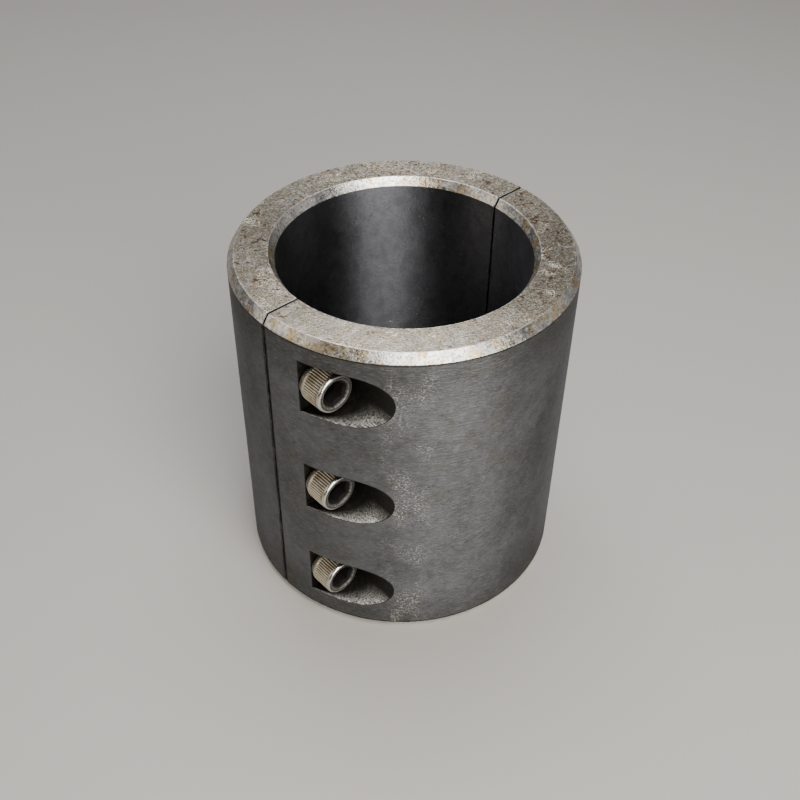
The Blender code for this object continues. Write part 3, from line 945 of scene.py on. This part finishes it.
def milled_steel(colours):
    """Mild steel milled with a long end mill: the walls that face upwards carry a speckled painted highlight
    near the mouth, the others are dull, and the pocket darkens towards the seat and round the screw's hole."""
    material, tree, shader, place = steel("mild_steel_milled")
    # the cutter's marks are really about 0.2 mm apart: they are drawn coarser, so that they show
    chatter = marks(tree, place, (0.6, 3.0, 0.6), 0.3, 0.7)
    speckle = marks(tree, place, (0.45, 0.6, 0.45), 0.3, 0.6, detail=3.0)
    dirt_and_shade_mask = add(tree, "ShaderNodeAttribute", attribute_name="dirt_and_shade").outputs["Fac"]
    # walls that face upwards, near the mouth where the attribute is low, carry a painted highlight
    facing = add(tree, "ShaderNodeSeparateXYZ", {0: add(tree, "ShaderNodeNewGeometry").outputs["Normal"]})
    span = {"Value": facing.outputs[2], "From Min": 0.35, "From Max": 0.8}
    lit_from_above = add(tree, "ShaderNodeMapRange", span).outputs[0]
    outer = add(tree, "ShaderNodeMapRange", {"Value": dirt_and_shade_mask, "From Min": 0.5, "From Max": 0.05}).outputs[0]
    patchy = marks(tree, place, 1.6, 0.25, 0.55, detail=3.0)
    colour = layered(tree, colours.milled, [
        (together(tree, lit_from_above, outer, speckle), colours.milled_highlight),
        (together(tree, dirt_and_shade_mask, patchy), colours.grime),
    ])
    roughness = marks(tree, place, 0.9, 0.3, 0.7, most=0.75, least=0.55, detail=3.0)
    finished(tree, shader, colour, roughness, relief(tree, (chatter, 0.015), (speckle, 0.02)))
    return material


def sawn_steel(colours):
    """Mild steel slit lengthwise with a saw: coarse grey strokes across the cut, brown stains, and grime
    along the edges."""
    material, tree, shader, place = steel("mild_steel_sawn")
    strokes = marks(tree, place, (9.0, 9.0, 0.6), 0.3, 0.7, detail=3.0)
    grit = marks(tree, place, 0.8, 0.35, 0.7, detail=3.0)
    stains = marks(tree, place, 6.0, 0.4, 0.7, most=0.8, detail=4.0)
    dirt_and_shade_mask = add(tree, "ShaderNodeAttribute", attribute_name="dirt_and_shade").outputs["Fac"]
    patchy = marks(tree, place, 5.0, 0.25, 0.5, least=0.7, detail=4.0)
    colour = layered(tree, colours.chamfer, [
        (strokes, colours.turned), (stains, colours.turned_stained),
        (together(tree, dirt_and_shade_mask, patchy), colours.grime),
    ])
    roughness = marks(tree, place, (2.0, 2.0, 1.0), 0.3, 0.7, most=0.56, least=0.38, detail=3.0)
    finished(tree, shader, colour, roughness, relief(tree, (strokes, 0.05), (grit, 0.02)))
    return material


def tapped_steel(colours):
    """Mild steel tapped with cutting oil: dark grooves with crests torn a little brighter."""
    material, tree, shader, place = steel("mild_steel_tapped")
    dirt_and_shade_mask = add(tree, "ShaderNodeAttribute", attribute_name="dirt_and_shade").outputs["Fac"]
    torn = marks(tree, place, (0.8, 0.8, 0.3), 0.35, 0.7, detail=3.0)
    colour = layered(tree, colours.milled, [(torn, colours.bored), (dirt_and_shade_mask, colours.grime)])
    roughness = marks(tree, place, 1.0, 0.3, 0.7, most=0.6, least=0.4)
    finished(tree, shader, colour, roughness, relief(tree, (torn, 0.02)))
    return material


def knurled_steel(colours):
    """Alloy steel screw, cold headed, knurled and once plated: the plating has worn to a warm grey on the
    ridges, with brown dirt packed in the grooves between them."""
    material, tree, shader, place = steel("alloy_steel_knurled_and_worn")
    dirt_and_shade_mask = add(tree, "ShaderNodeAttribute", attribute_name="dirt_and_shade").outputs["Fac"]
    streaks = marks(tree, place, (0.6, 3.0, 0.6), 0.35, 0.7, detail=3.0)
    stained = marks(tree, place, 3.0, 0.42, 0.66, most=0.7, detail=4.0)
    packed = add(tree, "ShaderNodeMapRange", {"Value": dirt_and_shade_mask, "From Min": 0.3, "From Max": 0.9}).outputs[0]
    colour = layered(tree, colours.screw, [(stained, colours.screw_stained), (packed, colours.screw_dirt)])
    roughness = add(tree, "ShaderNodeMapRange", {"Value": dirt_and_shade_mask, "To Min": 0.3, "To Max": 0.75}).outputs[0]
    finished(tree, shader, colour, roughness, relief(tree, (streaks, 0.02)))
    return material


def socket_steel(colours):
    """Alloy steel punched to a hexagon and never cleaned: nearly black with old grease and painted shade, and
    dull.
    """
    material, tree, shader, place = steel("alloy_steel_socket_greased_and_shaded")
    dirt_and_shade_mask = add(tree, "ShaderNodeAttribute", attribute_name="dirt_and_shade").outputs["Fac"]
    lumps = marks(tree, place, 0.7, 0.5, 0.75, most=0.6, detail=3.0)
    colour = layered(tree, colours.head, [
        (dirt_and_shade_mask, colours.grease_and_shade), (together(tree, dirt_and_shade_mask, lumps), colours.grime),
    ])
    roughness = add(tree, "ShaderNodeMapRange", {"Value": dirt_and_shade_mask, "To Min": 0.4, "To Max": 0.85}).outputs[0]
    finished(tree, shader, colour, roughness, relief(tree, (lumps, 0.02)))
    return material


def head_steel(colours):
    """Alloy steel of the head's face and rim, rubbed bright on the rim by keys and hands: a sharp shine
    on the round edge beside a grey face, painted darker as the shadow that the pocket's edge casts on it."""
    material, tree, shader, place = steel("alloy_steel_head_rubbed")
    dirt_and_shade_mask = add(tree, "ShaderNodeAttribute", attribute_name="dirt_and_shade").outputs["Fac"]
    patchy = marks(tree, place, 1.2, 0.1, 0.45, least=0.5, detail=4.0)
    scuffs = marks(tree, place, 0.45, 0.48, 0.7, most=0.7)
    colour = layered(tree, colours.head, [
        (together(tree, dirt_and_shade_mask, patchy), colours.head_face_and_shadow),
        (together(tree, dirt_and_shade_mask, scuffs), colours.grime),
    ])
    roughness = add(tree, "ShaderNodeMapRange", {"Value": dirt_and_shade_mask, "To Min": 0.22, "To Max": 0.65}).outputs[0]
    finished(tree, shader, colour, roughness, relief(tree, (scuffs, 0.015)))
    return material


def spring_steel(colours):
    """Spring steel wire, coiled, hardened and oiled: a dark warm grey ring with lengthwise drawing lines."""
    material, tree, shader, place = steel("spring_steel_hardened_and_oiled")
    # the drawing lines are really about 0.05 mm apart: they are drawn at 0.3 mm, so that they show
    lines = marks(tree, place, (2.5, 0.3, 2.5), 0.3, 0.7)
    stained = marks(tree, place, 2.0, 0.42, 0.66, most=0.8, detail=4.0)
    colour = layered(tree, colours.washer, [(stained, colours.screw_stained), (lines, colours.bored)])
    roughness = marks(tree, place, 1.2, 0.3, 0.7, most=0.5, least=0.34)
    finished(tree, shader, colour, roughness, relief(tree, (lines, 0.01)))
    return material


# ---------------------------------------------------------------- operators


class HalfShells(bpy.types.Operator):
    """Build both half shells of the sleeve"""

    bl_idname = "coupling.half_shells"
    bl_label = "Half shells"

    def execute(self, context):
        scene = context.scene
        colours = scene.coupling_colours
        chamfered = chamfered_steel(colours)
        materials = [
            turned_steel(colours, scene.coupling_sleeve),
            faced_steel(colours, scene.coupling_sleeve),
            chamfered,
            chamfered,
            bored_steel(colours),
            milled_steel(colours),
            sawn_steel(colours),
            tapped_steel(colours),
        ]
        patches = half_shell_patches(scene.coupling_sleeve, scene.coupling_screws)
        for side in SIDES:
            placed = [(turned_to(points, side), *rest) for points, *rest in patches]
            mesh = sewn(f"{side}_shell", placed, materials)
            piece(f"{side}_shell", mesh, f"{side}_half", [f"{side}_half"])
        return {"FINISHED"}


class CapScrews(bpy.types.Operator):
    """Build the six socket head cap screws"""

    bl_idname = "coupling.cap_screws"
    bl_label = "Cap screws"

    def execute(self, context):
        scene = context.scene
        colours = scene.coupling_colours
        materials = [knurled_steel(colours), socket_steel(colours), head_steel(colours)]
        for side in SIDES:
            for row in ROWS:
                node = f"{side}_screw_{row}"
                mesh = screw_mesh(f"{side}_cap_screw_{row}", side, row, scene.coupling_screws, materials)
                piece(mesh.name, mesh, node, [node])
        return {"FINISHED"}


class LockWashers(bpy.types.Operator):
    """Build the six spring lock washers"""

    bl_idname = "coupling.lock_washers"
    bl_label = "Lock washers"

    def execute(self, context):
        scene = context.scene
        materials = [spring_steel(scene.coupling_colours)]
        for side in SIDES:
            for row in ROWS:
                node = f"{side}_lock_washer_{row}"
                name = f"{side}_spring_washer_{row}"
                mesh = washer_mesh(name, side, row, scene.coupling_washers, materials)
                piece(mesh.name, mesh, node, [node])
        return {"FINISHED"}


class Stage(bpy.types.Operator):
    """Set up the floor, the lights and the camera"""

    bl_idname = "coupling.stage"
    bl_label = "Stage"

    def execute(self, context):
        make_floor()
        make_lights()
        make_camera()
        return {"FINISHED"}


def make_floor():
    """A plain pale floor, a square that the coupling stands on."""
    mesh = bpy.data.meshes.new("floor")
    corners = [(x * FLOOR_HALF, y * FLOOR_HALF, 0.0) for x, y in ((-1, -1), (1, -1), (1, 1), (-1, 1))]
    mesh.from_pydata(corners, [], [(0, 1, 2, 3)])
    floor = bpy.data.objects.new("floor", mesh)
    bpy.context.scene.collection.objects.link(floor)
    floor.location.z = -0.05 * MM
    material = bpy.data.materials.new("pale_floor")
    material.use_nodes = True
    shader = material.node_tree.nodes["Principled BSDF"]
    shader.inputs["Base Color"].default_value = linear(FLOOR_COLOUR)
    shader.inputs["Roughness"].default_value = 0.6
    mesh.materials.append(material)


def direction(azimuth, elevation):
    """The unit vector at these angles in degrees: azimuth from -Y towards +X, elevation up from level."""
    azimuth, elevation = math.radians(azimuth), math.radians(elevation)
    level = math.cos(elevation)
    return Vector((math.sin(azimuth) * level, -math.cos(azimuth) * level, math.sin(elevation)))


def soft_light(name, azimuth, elevation, distance, size, power, colour):
    """A rectangular soft light that points at the middle of the sleeve."""
    data = bpy.data.lights.new(name, "AREA")
    data.shape = "RECTANGLE"
    data.size, data.size_y = size
    data.energy = power
    data.color = linear(colour)[:3]
    light = bpy.data.objects.new(name, data)
    bpy.context.scene.collection.objects.link(light)
    away = direction(azimuth, elevation)
    light.location = Vector((0.0, 0.0, SLEEVE_LENGTH / 2)) + away * distance
    light.rotation_euler = away.to_track_quat("Z", "Y").to_euler()


SURROUND = 0.25  # strength of the surround's light
FLOOR_HALF = 2.0  # half the side of the floor, in metres
SURROUND_COLOUR, FLOOR_COLOUR = "#8a8a88", "#9c9a95"
LIGHTS = (  # name, azimuth, elevation, distance, size, power in watts, colour
    ("overhead", 137.0, 72.0, 0.9, (0.6, 0.6), 6.3, "#fbfaff"),
    ("pool", -21.0, 58.0, 0.6, (0.3, 0.3), 4.0, "#fffcf8"),
    ("front", -26.0, 34.0, 0.9, (0.8, 0.4), 5.4, "#fffcf8"),
    ("low", -10.0, 9.0, 0.8, (0.6, 0.25), 5.0, "#fffcf8"),
    ("left", -118.0, 24.0, 0.9, (0.6, 0.5), 1.3, "#fff6e8"),
    ("right", 58.0, 20.0, 0.9, (0.6, 0.5), 0.45, "#fbfaff"),
    ("behind", 182.0, 48.0, 0.9, (0.6, 0.6), 1.5, "#fbfaff"),
)


def make_lights():
    """Soft lights above, in front and at the sides, and a dark grey surround."""
    for name, azimuth, elevation, distance, size, power, colour in LIGHTS:
        soft_light(name, azimuth, elevation, distance, size, power, colour)
    world = bpy.data.worlds.new("grey_surround")
    world.use_nodes = True
    world.node_tree.nodes["Background"].inputs["Color"].default_value = linear(SURROUND_COLOUR)
    world.node_tree.nodes["Background"].inputs["Strength"].default_value = SURROUND
    bpy.context.scene.world = world


# The view: a lens of about 49 mm on a 36 mm sensor, from the front left and above
VIEW_AZIMUTH, VIEW_ELEVATION = -43.0, 41.05  # degrees
VIEW_DISTANCE = 6.806  # in outer radii
VIEW_ROLL = 0.0152  # radians
FOCAL_SHARE = 1.3489625  # focal length over sensor width
CENTRE_SHIFT = (0.00275, 0.01063)  # from the view's middle to the sleeve's, as shares of its width


def make_camera():
    """A camera that looks at the middle of the sleeve, turned a little so that it sits off centre."""
    data = bpy.data.cameras.new("view")
    data.sensor_width = 36.0
    data.lens = FOCAL_SHARE * data.sensor_width
    camera = bpy.data.objects.new("view", data)
    scene = bpy.context.scene
    scene.collection.objects.link(camera)
    middle = Vector((0.0, 0.0, SLEEVE_LENGTH / 2))
    back = direction(VIEW_AZIMUTH, VIEW_ELEVATION)
    right = direction(VIEW_AZIMUTH + 90, 0.0)
    up = back.cross(right)
    facing = Matrix((right, up, back)).transposed()
    pan = Matrix.Rotation(math.atan(CENTRE_SHIFT[0] / FOCAL_SHARE), 3, "Y")
    tilt = Matrix.Rotation(-math.atan(CENTRE_SHIFT[1] / FOCAL_SHARE), 3, "X")
    roll = Matrix.Rotation(VIEW_ROLL, 3, "Z")
    turned = facing @ pan @ tilt @ roll
    camera.matrix_world = Matrix.Translation(middle + back * VIEW_DISTANCE * OUTER_RADIUS) @ turned.to_4x4()
    data.clip_start, data.clip_end = 0.01, 20.0
    scene.camera = camera


class CouplingPanel(bpy.types.Panel):
    """The coupling's pieces, in the sidebar"""

    bl_idname = "VIEW3D_PT_coupling"
    bl_label = "Clamping sleeve coupling"
    bl_space_type = "VIEW_3D"
    bl_region_type = "UI"
    bl_category = "Coupling"

    def draw(self, context):
        for operator in OPERATORS:
            self.layout.operator(operator.bl_idname)


GROUPS = {
    "coupling_sleeve": SleeveSizes,
    "coupling_screws": ScrewSizes,
    "coupling_washers": WasherSizes,
    "coupling_colours": FinishColours,
}
OPERATORS = (HalfShells, CapScrews, LockWashers, Stage)


def register():
    for group in GROUPS.values():
        bpy.utils.register_class(group)
    for operator in OPERATORS:
        bpy.utils.register_class(operator)
    bpy.utils.register_class(CouplingPanel)
    for name, group in GROUPS.items():
        setattr(bpy.types.Scene, name, PointerProperty(type=group))


def unregister():
    for name in GROUPS:
        delattr(bpy.types.Scene, name)
    bpy.utils.unregister_class(CouplingPanel)
    for operator in reversed(OPERATORS):
        bpy.utils.unregister_class(operator)
    for group in reversed(list(GROUPS.values())):
        bpy.utils.unregister_class(group)


def main():
    register()
    bpy.ops.coupling.half_shells()
    bpy.ops.coupling.cap_screws()
    bpy.ops.coupling.lock_washers()
    bpy.ops.coupling.stage()


if __name__ == "__main__":
    main()
